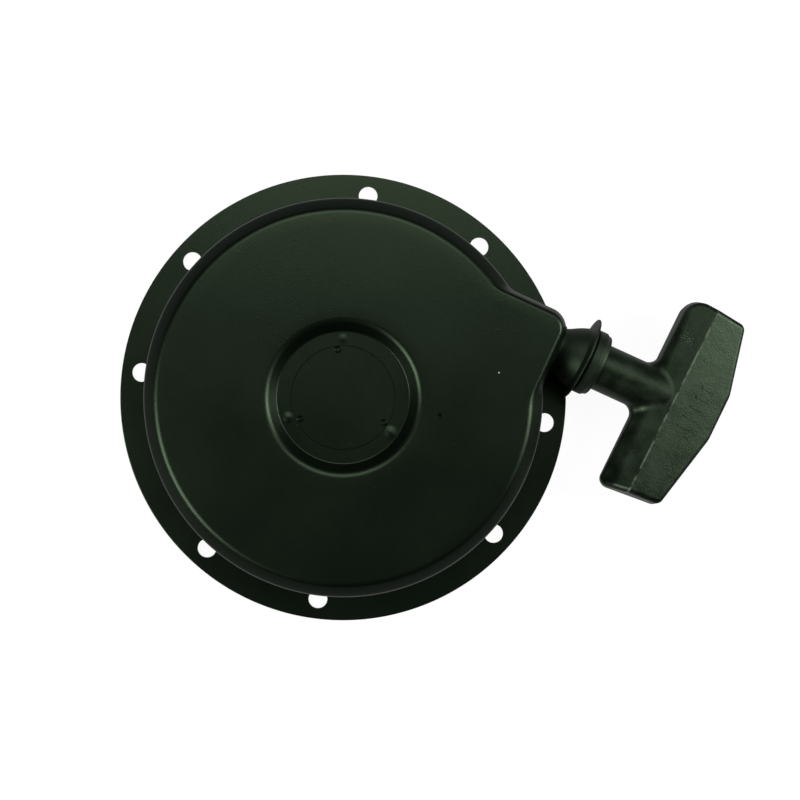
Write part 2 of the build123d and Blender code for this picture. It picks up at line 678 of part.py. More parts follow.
def friction_plate():
    """The plate that lags behind the reel and drives the pawls out through its slots."""
    plate = tube(PLATE_RADIUS, SHOULDER_RADIUS + SHOULDER_GAP, PLATE_BASE, PLATE_THICKNESS)
    arc = ThreePointArc(guide_path(0), guide_path(0.5), guide_path(1))
    slot = extrude(SlotArc(arc, 2 * (GUIDE_PIN + GUIDE_GAP)), PLATE_THICKNESS + 2)
    window_middle = (WAVE_OUTER + PLATE_RADIUS) / 2
    window_arc = CenterArc((0, 0), window_middle, -18, 36)
    window = extrude(SlotArc(window_arc, PLATE_RADIUS - WAVE_OUTER - 12), PLATE_THICKNESS + 2)
    for angle in pivot_places():
        plate -= around(Pos(0, 0, PLATE_BASE - 1) * slot, angle)
        plate -= around(Pos(0, 0, PLATE_BASE - 1) * window, angle + 90)
    return plate


# ---- Centre screw and washers ----

def centre_screw():
    """A shoulder screw with a flanged hexagon head, up into the post."""
    flange_top = PLATE_BASE - SCREW_FLANGE_GAP
    flange_base = flange_top - SCREW_FLANGE
    hexagon = extrude(RegularPolygon(HEX_ACROSS_FLATS / 2, 6, major_radius=False), HEX_HEIGHT)
    hexagon = Pos(0, 0, flange_base - HEX_HEIGHT) * chamfer(hexagon.edges().group_by(Axis.Z)[0], 0.4)
    screw = hexagon + rod(SCREW_FLANGE_RADIUS, flange_base, SCREW_FLANGE)
    screw += rod(SHOULDER_RADIUS, flange_top, THRUST_BASE - flange_top)
    return screw + rod(THREAD_RADIUS, THRUST_BASE, THREAD_LENGTH)


def thrust_washer():
    return tube(THRUST_RADIUS, THREAD_RADIUS + SHOULDER_GAP, THRUST_BASE, THRUST_THICKNESS)


def wave_washer():
    """The spring washer that loads the friction plate."""
    base = PLATE_TOP + (THRUST_BASE - PLATE_TOP - WAVE_THICKNESS) / 2
    return tube(WAVE_OUTER, WAVE_INNER, base, WAVE_THICKNESS)


# ---- Rope guide and boot ----

def rope_guide():
    """A flanged eyelet through the nose face, with rounded mouths for the rope."""
    inside = WALL_INSIDE - GUIDE_FLANGE
    outside = NOSE_FACE + GUIDE_LENGTH
    return turned_on_rope([
        (inside, GUIDE_BORE),
        (inside, GUIDE_FLANGE_RADIUS),
        (WALL_INSIDE, GUIDE_FLANGE_RADIUS),
        (WALL_INSIDE, GUIDE_RADIUS),
        (outside, GUIDE_RADIUS),
        (outside, GUIDE_BORE),
    ], [(0, GUIDE_MOUTH), (5, GUIDE_MOUTH)])


def guide_ring():
    """The push-on ring that holds the guide and the boot's base against the nose."""
    base = NOSE_FACE + BOOT_FLANGE
    return turned_on_rope([
        (base, GUIDE_RADIUS),
        (base, GUIDE_RADIUS + RING_WIDTH),
        (base + RING_THICKNESS, GUIDE_RADIUS + RING_WIDTH),
        (base + RING_THICKNESS, GUIDE_RADIUS),
    ])


def rope_boot():
    """The rubber boot: base flange, dome, thin brim and a collar around the handle's stem."""
    face = NOSE_FACE
    bore = STEM_RADIUS + BOOT_GAP
    brim_back = face + BOOT_BRIM_PLACE
    brim_front = brim_back + BOOT_BRIM_EDGE
    end = face + BOOT_LENGTH
    cavity_start = face + BOOT_FLANGE
    cavity_bend = STEM_START - 3
    return turned_on_rope([
        (face, GUIDE_RADIUS),
        (face, BOOT_FLANGE_RADIUS),
        (face + BOOT_FLANGE, BOOT_FLANGE_RADIUS),
        (face + BOOT_FLANGE + 0.3, BOOT_NECK),
        (face + 4.6, BOOT_DOME - 1.4),
        (face + 7.4, BOOT_DOME),
        (brim_back - 2.6, BOOT_DOME + 0.3),
        (brim_back, BOOT_BRIM),
        (brim_front, BOOT_BRIM),
        (brim_front, BOOT_COLLAR - 0.9),
        (brim_front + 1.0, BOOT_COLLAR),
        (end, BOOT_COLLAR),
        (end, bore),
        (cavity_bend, bore),
        (cavity_start, GUIDE_RADIUS + RING_WIDTH + 0.3),
        (cavity_start, GUIDE_RADIUS),
    ], [(2, 0.7), (4, 4.0), (5, 4.0), (6, 2.0), (7, 0.8), (8, 0.8), (11, BOOT_COLLAR_ROUND)])


# ---- Handle ----

def grip_outline():
    """The bar's plan at its middle, in X and in Y from the rope."""
    bulge_high = (GRIP_OUTER, 12.0)
    bulge_low = (GRIP_OUTER - 0.5, -10.5)
    plan = make_face(Polyline(
        (GRIP_INNER, GRIP_LOW_END),
        (GRIP_OUTER - 9.3, GRIP_LOW_END + 2.2),
        bulge_low,
        bulge_high,
        (GRIP_OUTER - 7.3, GRIP_HIGH_END - 3.0),
        (GRIP_INNER + 2.7, GRIP_HIGH_END),
        close=True,
    ))
    bulge = plan.vertices().sort_by(Axis.X)[-2:]
    plan = fillet(bulge, 3 * GRIP_CORNER)
    plan = fillet(plan.vertices().sort_by(Axis.Y)[-1], GRIP_HIGH_CORNER)
    corners = plan.vertices().sort_by(Axis.Y)
    outer_high = corners.filter_by_position(Axis.X, GRIP_OUTER - 8, GRIP_OUTER - 7)
    return fillet(corners[:2] + outer_high, GRIP_CORNER)


def along_bar(y, low, high):
    """A size of the bar at y from the rope, between its values at the low and the high end."""
    share = (y - GRIP_LOW_END) / (GRIP_HIGH_END - GRIP_LOW_END)
    return low + share * (high - low)


def facet_cutter():
    """What the facets, the ridge and the steep inner side leave above the bar's upper half."""
    reach = 20
    ends = []
    for y in (GRIP_LOW_END - reach, GRIP_HIGH_END + reach):
        ridge = along_bar(y, RIDGE_LOW, RIDGE_HIGH)
        crease = GRIP_INNER + along_bar(y, GRIP_SIDE_LOW, GRIP_SIDE_HIGH)
        inner_fall = INNER_FACET_DROP / (ridge - GRIP_INNER)
        outer_fall = OUTER_FACET_DROP / (GRIP_OUTER - ridge)
        crease_z = GRIP_HALF_THICKNESS - inner_fall * (ridge - crease)
        side_fall = (crease_z - GRIP_SIDE_START) / (crease - GRIP_INNER)
        outer_z = GRIP_HALF_THICKNESS - outer_fall * (GRIP_OUTER + reach - ridge)
        ends.append(Face(Wire(Polyline(
            (GRIP_INNER - reach, y, GRIP_SIDE_START - side_fall * reach),
            (crease, y, crease_z),
            (ridge, y, GRIP_HALF_THICKNESS),
            (GRIP_OUTER + reach, y, outer_z),
            (GRIP_OUTER + reach, y, 3 * reach),
            (GRIP_INNER - reach, y, 3 * reach),
            close=True,
        ))))
    return loft(ends, ruled=True)


def upper_faces(half):
    """The faces of the bar's upper half that the facet cutter left."""
    return [face for face in half.faces() if face.normal_at().Z > 0.45]


def ridge_edges(half):
    """The edges between two upper faces: the crease first, then the ridge."""
    faces = upper_faces(half)
    shared = [
        edge for number, face in enumerate(faces) for edge in face.edges()
        if any(edge in other.edges() for other in faces[number + 1:])
    ]
    return sorted(shared, key=lambda edge: (edge @ 0.5).X)


def half_grip():
    """The upper half of the bar, from its middle plane to the ridge."""
    block = extrude(grip_outline(), GRIP_HALF_THICKNESS + 1, taper=GRIP_DRAFT)
    half = block - facet_cutter()
    half = fillet(ridge_edges(half)[0], GRIP_SIDE_ROUND)
    inside = ridge_edges(half)
    rim = [edge for face in upper_faces(half) for edge in face.edges() if edge not in inside]
    return fillet(rim, GRIP_EDGE)


def grip_ribs():
    """Short raised ribs across the outer facet, for the thumb."""
    ribs = Part()
    for number in range(RIB_COUNT):
        y = RIB_PITCH * (number - (RIB_COUNT - 1) / 2)
        x = GRIP_INNER + RIB_PLACE + RIB_LEAN * y
        ridge = along_bar(y, RIDGE_LOW, RIDGE_HIGH)
        fall = OUTER_FACET_DROP / (GRIP_OUTER - ridge)
        z = GRIP_HALF_THICKNESS - fall * (x - ridge)
        rib = Box(RIB_LENGTH, RIB_WIDTH, 4 * RIB_PROUD)
        rib = fillet(rib.edges().filter_by(Axis.Z), RIB_WIDTH * 0.45)
        ribs += Pos(x, y, z - RIB_PROUD) * Rot(0, degrees(atan2(fall, 1)), 0) * rib
    return ribs


def stem_edges(body):
    """The edges where the round stem runs into the bar."""
    return [
        edge for edge in body.edges()
        if all(
            abs(sqrt((edge @ share).Y ** 2 + (edge @ share).Z ** 2) - STEM_RADIUS) < 0.02
            and (edge @ share).X > STEM_START + STEM_FILLET
            for share in (0.05, 0.5, 0.95)
        )
    ]


def handle_grip():
    """The moulded T handle: a faceted bar on a round stem, bored for the rope and its knot."""
    upper = half_grip()
    stem = along_x(STEM_START, Cylinder(STEM_RADIUS, STEM_LENGTH, align=FROM_BASE))
    body = upper + mirror(upper, Plane.XY) + stem
    body = fillet(stem_edges(body), STEM_FILLET)
    end_edges = [edge for edge in body.edges() if edge.bounding_box().max.X < STEM_START + 0.01]
    body = fillet(end_edges, STEM_END_ROUND)
    body += grip_ribs()
    bore_length = SOCKET_FLOOR - STEM_START + 2
    socket = Cylinder(SOCKET_RADIUS, SOCKET_DEPTH + 5, align=FROM_BASE)
    body -= along_x(SOCKET_FLOOR, socket)
    body -= along_x(STEM_START - 1, Cylinder(ROPE_RADIUS + ROPE_BORE_GAP, bore_length, align=FROM_BASE))
    return Pos(*ROPE_LINE) * body


def grip_washer():
    """The washer that the rope's knot pulls against."""
    washer = Cylinder(WASHER_RADIUS, WASHER_THICKNESS, align=FROM_BASE)
    washer -= Cylinder(ROPE_RADIUS, 3 * WASHER_THICKNESS)
    return Pos(*ROPE_LINE) * along_x(SOCKET_FLOOR, washer)


# ---- Write every piece ----

def write_part(name, shape):
    export_step(shape, f"parts/{name}.step")
    print(f"{name:20s} {shape.volume:12.2f} mm3  {len(shape.solids())} solid(s)")


def main():
    os.makedirs("parts", exist_ok=True)
    write_part("housing_pan", housing_pan())
    write_part("hub_plate", hub_plate())
    write_part("reel_post", reel_post())
    write_part("reel_bush", reel_bush())
    write_part("reel", reel())
    write_part("recoil_spring", recoil_spring())
    write_part("spring_cover", spring_cover())
    write_part("cover_screws", cover_screws())
    write_part("rope_coil", rope_coil())
    write_part("rope_knot_reel", rope_knot_reel())
    write_part("rope_run", rope_run())
    write_part("pawl_pins", pawl_pins())
    for number, angle in enumerate(pivot_places(), 1):
        write_part(f"pawl_{number}", pawl(angle))
        write_part(f"pawl_spring_{number}", pawl_spring(angle))
    write_part("friction_plate", friction_plate())
    write_part("wave_washer", wave_washer())
    write_part("thrust_washer", thrust_washer())
    write_part("centre_screw", centre_screw())
    write_part("rope_guide", rope_guide())
    write_part("guide_ring", guide_ring())
    write_part("rope_boot", rope_boot())
    write_part("handle_grip", handle_grip())
    write_part("grip_washer", grip_washer())
    write_part("rope_tail", rope_tail())
    write_part("rope_knot_handle", rope_knot_handle())


main()
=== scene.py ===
# %% [markdown]
# A recoil starter is the pull-rope unit of a small engine. It is a pressed steel pan with
# a bolting flange, and the rope, its reel and a spiral spring are inside. The moving model
# arrives here as a finished frame: every solid is in place, in metres, with the rope along
# +X and the closed side of the pan facing +Z. This script gives every solid its finish, and
# models afresh the pieces whose surface carries the look: the pan, the boot, the rope and
# its knot.

# %% Load the frame
from math import atan2, cos, hypot, pi, radians, sin, sqrt, tan

import bmesh
import bpy
from mathutils import Matrix, Vector


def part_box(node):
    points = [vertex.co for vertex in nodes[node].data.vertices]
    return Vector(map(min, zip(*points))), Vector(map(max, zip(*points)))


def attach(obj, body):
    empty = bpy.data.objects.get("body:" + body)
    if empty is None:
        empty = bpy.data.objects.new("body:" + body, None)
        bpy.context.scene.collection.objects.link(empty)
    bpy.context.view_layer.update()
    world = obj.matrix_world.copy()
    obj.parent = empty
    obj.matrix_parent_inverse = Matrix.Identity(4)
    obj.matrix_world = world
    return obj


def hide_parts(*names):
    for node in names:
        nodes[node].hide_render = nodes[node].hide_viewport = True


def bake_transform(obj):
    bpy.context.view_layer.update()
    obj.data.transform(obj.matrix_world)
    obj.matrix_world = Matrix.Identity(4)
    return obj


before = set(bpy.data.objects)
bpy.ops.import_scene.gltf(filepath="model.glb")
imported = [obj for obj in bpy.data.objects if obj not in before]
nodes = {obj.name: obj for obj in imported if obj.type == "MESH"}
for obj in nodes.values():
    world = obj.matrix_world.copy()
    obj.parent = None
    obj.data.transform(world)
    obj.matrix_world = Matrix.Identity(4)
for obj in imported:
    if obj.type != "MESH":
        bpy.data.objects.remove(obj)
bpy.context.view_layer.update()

# %% [markdown]
# Sizes are in metres. The flange radius and the depth are read from the frame. The rest
# are the press tool's own sizes: wall, shoulder, nose and recess. The rope's line is where
# the handle's stem lies, so it is read from the boot, which is round about it.

# %% Sizes of the pan and the rope
pan_low, pan_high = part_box("housing_pan")
FLANGE_RADIUS = -pan_low.x
PAN_HEIGHT = pan_high.z
SHEET = 0.0016              # thickness of the steel
PAN_RADIUS = 0.090          # the round wall
PAN_SHOULDER = 0.008        # width and depth of the bend round the flat top
FLANGE_ROOT = 0.0012        # bend between the wall and the flange
FLANGE_EDGE = 0.0004        # rounding of the flange's rim
NOSE_FACE = 0.0791          # the flat face where the rope leaves, along X
NOSE_SIDE = 0.0755          # the nose's other flat side, along Y
NOSE_CORNER = 0.010         # corner between the two
NOSE_SHOULDER = 0.004
NOSE_SIDE_BLEND = 0.012     # hollow bend from the round wall into the side
NOSE_FACE_BLEND = 0.020     # hollow bend from the round wall into the face
RECESS_MOUTH = 0.0341       # radius of the recess at the flat top
RECESS_FLOOR = 0.0298       # radius at its floor
RECESS_DEPTH = 0.005
RECESS_FOOT_ROUND = 0.0007
RECESS_LIP_ROUND = 0.0042
HUB_HOLE = 0.0234           # radius of the hole under the hub plate

boot_low, boot_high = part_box("rope_boot")
ROPE_Y = (boot_low.y + boot_high.y) / 2
ROPE_Z = (boot_low.z + boot_high.z) / 2
print(f"rope line at y {ROPE_Y:.4f}, z {ROPE_Z:.4f}")

# %% [markdown]
# The camera looks straight down on the closed side, turned so that the handle points to
# the lower right. A small shift keeps the pan left of the middle, which leaves room for the
# handle. Camera shift is used, not a tilt, so round edges stay round.

# %% Camera
VIEW_TURN = radians(24.6)   # about Z, which brings the handle to the lower right
CAMERA_HEIGHT = 0.602
LENS = 56.3                 # mm, on a 36 mm sensor

camera_data = bpy.data.cameras.new("camera")
camera_data.lens = LENS
camera_data.sensor_width = 36.0
camera_data.shift_x = 0.0712
camera_data.shift_y = -0.0031
camera = bpy.data.objects.new("camera", camera_data)
camera.location = (0, 0, CAMERA_HEIGHT)
camera.rotation_euler = (0, 0, VIEW_TURN)
bpy.context.scene.collection.objects.link(camera)
bpy.context.scene.camera = camera
print(f"camera {CAMERA_HEIGHT} m above the closed side, lens {LENS} mm")


def studio(right, up, height):
    """A place in the studio, by its distance right of and above the middle of the view."""
    return Vector((
        right * cos(VIEW_TURN) - up * sin(VIEW_TURN),
        right * sin(VIEW_TURN) + up * cos(VIEW_TURN),
        height,
    ))


# %% [markdown]
# Black paint shows almost nothing but reflections, so each light is placed by what a
# surface mirrors. A large soft panel hangs above the far half, and its reflection fades
# down the flat top. Two lower panels, at the left and at the right, draw the bright lines
# on the shoulder and in the recess. A fourth is for the handle's outer facet, which leans
# to the right. They are area lights, since a small lamp would leave hard spots.

# %% Lights
def soft_panel(name, place, target, width, depth, power):
    """A rectangular area light at place that faces target."""
    data = bpy.data.lights.new(name, "AREA")
    data.shape = "RECTANGLE"
    data.size = width
    data.size_y = depth
    data.energy = power
    panel = bpy.data.objects.new(name, data)
    panel.location = place
    panel.rotation_euler = (target - place).to_track_quat("-Z", "Y").to_euler()
    bpy.context.scene.collection.objects.link(panel)


middle = Vector((0.03, 0, 0.03))
soft_panel("top_panel", studio(0.06, 0.72, 1.28), middle, 1.1, 0.85, 6.8)
soft_panel("left_panel", studio(-0.90, -0.40, 0.80), middle, 0.7, 0.7, 9.0)
soft_panel("right_panel", studio(1.15, 0.10, 0.62), middle, 0.6, 0.6, 6.4)
soft_panel("handle_panel", studio(1.10, 0.15, 1.05), middle, 0.5, 0.5, 4.8)

# %% [markdown]
# The starter lies on a white table in a white room. The Light Path node tells camera rays
# from all others, so the table looks white, but black paint doesn't mirror a white room.
# Only the sheet right round the starter glows in reflections. It gives the thin pale rims
# on the wall, the boot and the handle. The floor is a hair below the flange, because two
# faces at one height would flicker.

# %% Table and room
GLOW_START = 0.17           # the lit sheet fades between these two radii
GLOW_END = 0.24
FLOOR_DROP = 0.0003


def new_material(name):
    """A new node material, with its node tree and its shader."""
    material = bpy.data.materials.new(name)
    material.use_nodes = True
    tree = material.node_tree
    return material, tree, tree.nodes["Principled BSDF"]


def floor_material():
    material, tree, shader = new_material("lit_table")
    shader.inputs["Base Color"].default_value = (0.10, 0.10, 0.10, 1)
    shader.inputs["Roughness"].default_value = 0.9
    shader.inputs["Specular IOR Level"].default_value = 0.0
    shader.inputs["Emission Color"].default_value = (1, 1, 1, 1)
    path = tree.nodes.new("ShaderNodeLightPath")
    place = tree.nodes.new("ShaderNodeTexCoord")
    distance = tree.nodes.new("ShaderNodeVectorMath")
    distance.operation = "LENGTH"
    tree.links.new(place.outputs["Object"], distance.inputs[0])
    sheet = tree.nodes.new("ShaderNodeMapRange")
    sheet.inputs["From Min"].default_value = GLOW_START
    sheet.inputs["From Max"].default_value = GLOW_END
    sheet.inputs["To Min"].default_value = 0.35
    sheet.inputs["To Max"].default_value = 0.02
    tree.links.new(distance.outputs["Value"], sheet.inputs["Value"])
    glow = tree.nodes.new("ShaderNodeMapRange")
    glow.inputs["To Max"].default_value = 0.95
    tree.links.new(sheet.outputs["Result"], glow.inputs["To Min"])
    tree.links.new(path.outputs["Is Camera Ray"], glow.inputs["Value"])
    tree.links.new(glow.outputs["Result"], shader.inputs["Emission Strength"])
    return material


def make_floor():
    bm = bmesh.new()
    below = Matrix.Translation((0, 0, -FLOOR_DROP))
    bmesh.ops.create_circle(bm, cap_ends=True, radius=6.0, segments=96, matrix=below)
    mesh = bpy.data.meshes.new("floor")
    bm.to_mesh(mesh)
    bm.free()
    mesh.materials.append(floor_material())
    floor = bpy.data.objects.new("floor", mesh)
    bpy.context.scene.collection.objects.link(floor)


def make_world():
    """A room that is white to the eye and dim in reflections."""
    world = bpy.data.worlds.new("room")
    bpy.context.scene.world = world
    world.use_nodes = True
    tree = world.node_tree
    background = tree.nodes["Background"]
    background.inputs["Color"].default_value = (1, 1, 1, 1)
    path = tree.nodes.new("ShaderNodeLightPath")
    tone = tree.nodes.new("ShaderNodeMapRange")
    tone.inputs["To Min"].default_value = 0.03
    tone.inputs["To Max"].default_value = 1.0
    tree.links.new(path.outputs["Is Camera Ray"], tone.inputs["Value"])
    tree.links.new(tone.outputs["Result"], background.inputs["Strength"])


make_floor()
make_world()
bpy.context.scene.view_settings.view_transform = "Standard"
print(f"table glow ends {GLOW_END} m from the middle")

# %% [markdown]
# Every finish starts from one shader and adds what the real surface has. Noise nodes on
# Object coordinates make the fine grain, because those coordinates are metres on the part
# itself. Values that are the same everywhere stay on the shader's own sockets. The black
# parts mirror the room a little green, which a specular tint gives.

# %% Shared material helpers
TINT = (0.68, 1.0, 0.62, 1)


def set_shader(shader, colour, roughness, metallic=0.0, tint=None):
    """The values that hold for a whole finish."""
    shader.inputs["Base Color"].default_value = (*colour, 1)
    shader.inputs["Roughness"].default_value = roughness
    shader.inputs["Metallic"].default_value = metallic
    if tint:
        shader.inputs["Specular Tint"].default_value = tint


def noise(tree, scale, detail=2.0, rough=0.5):
    """A noise texture on Object coordinates; scale is in features per metre."""
    coordinates = tree.nodes.new("ShaderNodeTexCoord")
    texture = tree.nodes.new("ShaderNodeTexNoise")
    texture.inputs["Scale"].default_value = scale
    texture.inputs["Detail"].default_value = detail
    texture.inputs["Roughness"].default_value = rough
    tree.links.new(coordinates.outputs["Object"], texture.inputs["Vector"])
    return texture.outputs["Fac"]


def ramp(tree, value, low, high, first, last):
    """Maps a value between low and high to a value or a colour between first and last."""
    if isinstance(first, tuple):
        node = tree.nodes.new("ShaderNodeValToRGB")
        node.color_ramp.elements[0].position = low
        node.color_ramp.elements[1].position = high
        node.color_ramp.elements[0].color = (*first, 1)
        node.color_ramp.elements[1].color = (*last, 1)
        tree.links.new(value, node.inputs["Fac"])
        return node.outputs["Color"]
    node = tree.nodes.new("ShaderNodeMapRange")
    node.inputs["From Min"].default_value = low
    node.inputs["From Max"].default_value = high
    node.inputs["To Min"].default_value = first
    node.inputs["To Max"].default_value = last
    tree.links.new(value, node.inputs["Value"])
    return node.outputs["Result"]


def bump(tree, shader, height, strength, distance, below=None):
    """Adds a bump of a height in metres on top of the bump below it, if there is one."""
    node = tree.nodes.new("ShaderNodeBump")
    node.inputs["Strength"].default_value = strength
    node.inputs["Distance"].default_value = distance
    tree.links.new(height, node.inputs["Height"])
    if below is not None:
        tree.links.new(below, node.inputs["Normal"])
    tree.links.new(node.outputs["Normal"], shader.inputs["Normal"])
    return node.outputs["Normal"]


print("tint of the black parts:", TINT[:3])

# %% [markdown]
# Wear, mould lines and braids lie at known places on a part, so their patterns are worked
# out from the part's own coordinates with Math nodes. Each helper gives back a socket, so
# a pattern reads like a sum.

# %% Pattern helpers
def math_node(tree, operation, first, second=None):
    """One Math node on two inputs, each a number or a socket."""
    node = tree.nodes.new("ShaderNodeMath")
    node.operation = operation
    for socket, value in zip(node.inputs, (first, second)):
        if value is None:
            continue
        if isinstance(value, (int, float)):
            socket.default_value = value
        else:
            tree.links.new(value, socket)
    return node.outputs[0]


def part_axes(tree):
    """The x, y and z of the point, in metres on the part."""
    coordinates = tree.nodes.new("ShaderNodeTexCoord")
    split = tree.nodes.new("ShaderNodeSeparateXYZ")
    tree.links.new(coordinates.outputs["Object"], split.inputs[0])
    return split.outputs


def near_line(tree, start, end, width):
    """1 on the straight line through two (x, y) points and 0 beyond width from it."""
    axes = part_axes(tree)
    run = Vector(end) - Vector(start)
    across = Vector((-run.y, run.x)).normalized()
    offset = across.dot(Vector(start))
    in_x = math_node(tree, "MULTIPLY", axes[0], across.x)
    in_y = math_node(tree, "MULTIPLY", axes[1], across.y)
    side = math_node(tree, "ADD", in_x, in_y)
    away = math_node(tree, "ABSOLUTE", math_node(tree, "SUBTRACT", side, offset))
    return ramp(tree, away, 0, width, 1.0, 0.0)


def near_point(tree, place, reach):
    """1 at a point of the part, falling to 0 at reach from it."""
    coordinates = tree.nodes.new("ShaderNodeTexCoord")
    away = tree.nodes.new("ShaderNodeVectorMath")
    away.operation = "DISTANCE"
    away.inputs[1].default_value = place
    tree.links.new(coordinates.outputs["Object"], away.inputs[0])
    return ramp(tree, away.outputs["Value"], 0, reach, 1.0, 0.0)


def blend_colours(tree, share, first, second):
    """A colour between first and second, each a colour or a socket, by the share."""
    node = tree.nodes.new("ShaderNodeMix")
    node.data_type = "RGBA"
    tree.links.new(share, node.inputs["Factor"])
    for socket, value in ((node.inputs["A"], first), (node.inputs["B"], second)):
        if isinstance(value, tuple):
            socket.default_value = (*value, 1)
        else:
            tree.links.new(value, socket)
    return node.outputs["Result"]


print("patterns can follow a line or a point of a part")

# %% [markdown]
# The pan is sprayed satin black over steel. Such paint has a fine orange peel, a few dust
# nibs under the coat, and a roughness that drifts slowly across the sheet. This pan also
# has one dull spot on its flat top, and one small bright spot there that is a painted
# highlight: the glint of a raised nib, painted into the base colour.

# %% Black paint
BLACK = (0.0007, 0.0017, 0.0010)
NIB_GLINT_SPOT = (0.0584, 0.0389, PAN_HEIGHT)
DULL_SPOT = (0.0423, 0.0108, PAN_HEIGHT)


def black_paint():
    material, tree, shader = new_material("black_paint")
    set_shader(shader, BLACK, 0.33, tint=TINT)
    drift = noise(tree, 28, 3)
    tree.links.new(ramp(tree, drift, 0.3, 0.7, 0.31, 0.36), shader.inputs["Roughness"])
    # A small pale spot painted into the base colour: a painted highlight, the glint of a raised
    # nib.
    nib_glint = ramp(tree, near_point(tree, NIB_GLINT_SPOT, 0.0006), 0.3, 0.6, 0.0, 1.0)
    with_nib_glint = blend_colours(tree, nib_glint, BLACK, (0.55, 0.62, 0.55))
    tree.links.new(with_nib_glint, shader.inputs["Base Color"])
    ragged = math_node(tree, "MULTIPLY", near_point(tree, DULL_SPOT, 0.0022), noise(tree, 900, 2))
    dull = ramp(tree, ragged, 0.20, 0.34, 0.5, 0.08)
    tree.links.new(dull, shader.inputs["Specular IOR Level"])
    peel = bump(tree, shader, noise(tree, 1500, 2), 0.30, 0.00012)
    nibs = ramp(tree, noise(tree, 420, 0), 0.80, 0.84, 0.0, 1.0)
    bump(tree, shader, nibs, 0.22, 0.00010, below=peel)
    return material


PAINT = black_paint()
print("finish:", PAINT.name)

# %% [markdown]
# The plain finishes: rubber, moulded plastics, steels, bronze and rope. Each has its own
# grain size. A turned or stamped steel part gets a fine streaked roughness, and a moulded
# part a fine even stipple.

# %% Other finishes
def moulded(name, colour, roughness, grain=900, tint=None):
    """Rubber or plastic from a mould: an even stipple, and dust in soft patches."""
    material, tree, shader = new_material(name)
    set_shader(shader, colour, roughness, tint=tint)
    mottle = noise(tree, 60, 4, 0.6)
    dusty = tuple(channel * 2.2 for channel in colour)
    tree.links.new(ramp(tree, mottle, 0.35, 0.75, colour, dusty), shader.inputs["Base Color"])
    dull = ramp(tree, mottle, 0.3, 0.7, roughness - 0.05, roughness + 0.08)
    tree.links.new(dull, shader.inputs["Roughness"])
    bump(tree, shader, noise(tree, grain, 3), 0.3, 0.00008)
    return material


def steel(name, colour, roughness):
    """Bare or plated metal: fine marks in its gloss, and darker worn patches."""
    material, tree, shader = new_material(name)
    set_shader(shader, colour, roughness, metallic=1.0)
    worn = tuple(channel * 0.72 for channel in colour)
    patches = ramp(tree, noise(tree, 90, 4), 0.35, 0.7, colour, worn)
    tree.links.new(patches, shader.inputs["Base Color"])
    streaks = noise(tree, 700, 3, 0.7)
    gloss = ramp(tree, streaks, 0.3, 0.7, roughness - 0.07, roughness + 0.10)
    tree.links.new(gloss, shader.inputs["Roughness"])
    bump(tree, shader, streaks, 0.15, 0.00003)
    return material


RUBBER = moulded("boot_rubber", (0.0035, 0.0052, 0.0037), 0.50, grain=1100, tint=TINT)
REEL_NYLON = moulded("reel_nylon", (0.018, 0.019, 0.020), 0.46)
GUIDE_NYLON = moulded("guide_nylon", (0.020, 0.021, 0.020), 0.34)
ZINC = steel("zinc_plate", (0.58, 0.59, 0.60), 0.30)
STAMPED = steel("stamped_plate", (0.47, 0.47, 0.46), 0.38)
TURNED = steel("turned_steel", (0.42, 0.42, 0.41), 0.26)
HARDENED = steel("hardened_steel", (0.16, 0.15, 0.145), 0.42)
BLUED = steel("blued_spring", (0.15, 0.17, 0.22), 0.30)
BRONZE = steel("sintered_bronze", (0.50, 0.31, 0.14), 0.42)

FINISHES = {
    "hub_plate": PAINT, "reel_post": TURNED, "reel_bush": BRONZE, "reel": REEL_NYLON,
    "recoil_spring": BLUED, "spring_cover": ZINC, "cover_screws": ZINC,
    "rope_guide": GUIDE_NYLON, "guide_ring": BLUED, "centre_screw": ZINC,
    "thrust_washer": ZINC, "wave_washer": BLUED, "pawl_pins": TURNED,
    "pawl_1": HARDENED, "pawl_2": HARDENED, "pawl_spring_1": BLUED, "pawl_spring_2": BLUED,
    "friction_plate": STAMPED, "grip_washer": ZINC,
}


def finish_node(name, material):
    """Gives a solid of the frame its finish; its mesh stays as it is."""
    mesh = nodes[name].data
    mesh.materials.clear()
    mesh.materials.append(material)


for node_name, node_finish in FINISHES.items():
    finish_node(node_name, node_finish)
print("finished", len(FINISHES), "nodes")

# %% [markdown]
# The handle is hard plastic that years of hands have polished in patches. Two sizes of
# noise give the patches their colour and gloss. The ridge has worn paler along its length,
# so a line between its two ends is lightened where a noise lets it through. A few scuffs
# sit near the upper end, and a thin mould line runs round the middle.

# %% Worn handle plastic
grip_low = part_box("handle_grip")[0]
RIDGE_LOW_END = (grip_low.x + 0.0439, ROPE_Y - 0.0502)
RIDGE_HIGH_END = (grip_low.x + 0.0472, ROPE_Y + 0.0477)
SCUFFS = (grip_low.x + 0.0394, ROPE_Y + 0.0272, 0.0305)


